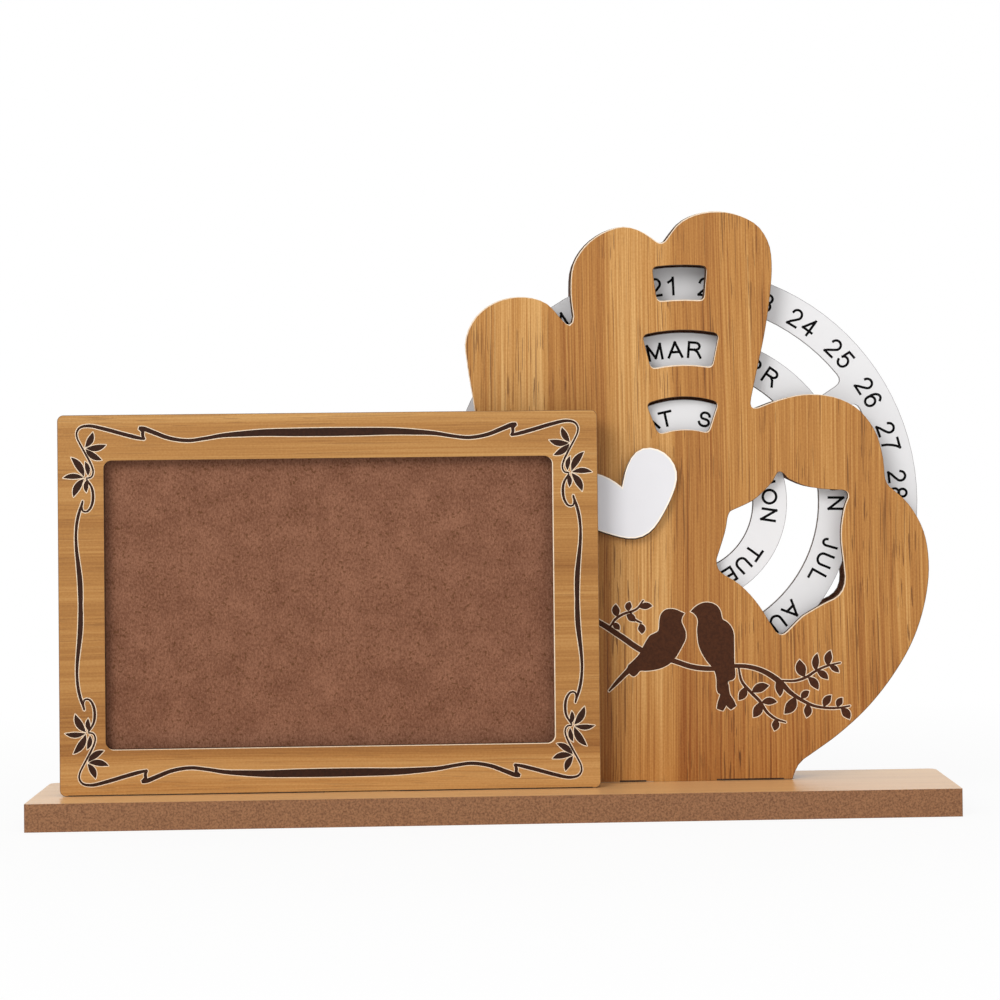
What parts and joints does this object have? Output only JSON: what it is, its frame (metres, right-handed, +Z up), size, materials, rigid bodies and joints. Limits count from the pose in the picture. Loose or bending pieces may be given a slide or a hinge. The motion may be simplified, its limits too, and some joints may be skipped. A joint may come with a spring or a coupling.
{
  "type": "perpetual desk calendar",
  "caption": "Perpetual desk calendar: a photo frame and a hand-shaped plate sandwich on a plank, with three ring dials that turn on one post behind viewing windows.",
  "frame": {"origin": "middle of the plank's underside, on the surface that the calendar stands on", "axes": "+X along the plank towards the hand's side, -Y towards the person who reads the calendar, +Z up"},
  "size_m": [0.3, 0.06, 0.1984],
  "materials": {
    "plank": "fibreboard with a pale wood-grain face",
    "wood_face": "satin wood-grain face with burnt laser-cut edges",
    "fibreboard": "raw brown fibreboard",
    "dowel": "sanded",
    "fibre_washer": "pressed fibre",
    "white_board": "thin board with a white satin face and burnt edges",
    "white_paint": "white satin paint on thin board"
  },
  "bodies": {
    "stand": {"base_board": "plank", "frame_front_plate": "wood_face", "frame_spacer_left": "fibreboard", "frame_spacer_right": "fibreboard", "frame_spacer_bottom": "fibreboard", "frame_back_board": "fibreboard", "hand_front_plate": "wood_face", "hand_rear_plate": "wood_face", "palm_spacer": "fibreboard", "fingertip_spacer": "fibreboard", "little_finger_spacer": "fibreboard", "pivot_post": "dowel", "front_washer": "fibre_washer", "weekday_month_washer": "fibre_washer", "month_date_washer": "fibre_washer", "rear_washer": "fibre_washer", "heart_ornament": "white_paint"},
    "date": {"date_dial": "white_board"},
    "month": {"month_dial": "white_board"},
    "weekday": {"weekday_dial": "white_board"}
  },
  "joints": [
    {"name": "date_turn", "type": "hinge", "parent": "stand", "child": "date", "pos_m": [0.06365, 0.0147, 0.1014], "axis": [0, -1, 0], "continuous": true},
    {"name": "month_turn", "type": "hinge", "parent": "stand", "child": "month", "pos_m": [0.06365, 0.0118, 0.1014], "axis": [0, -1, 0], "continuous": true},
    {"name": "weekday_turn", "type": "hinge", "parent": "stand", "child": "weekday", "pos_m": [0.06365, 0.0089, 0.1014], "axis": [0, -1, 0], "continuous": true}
  ]
}
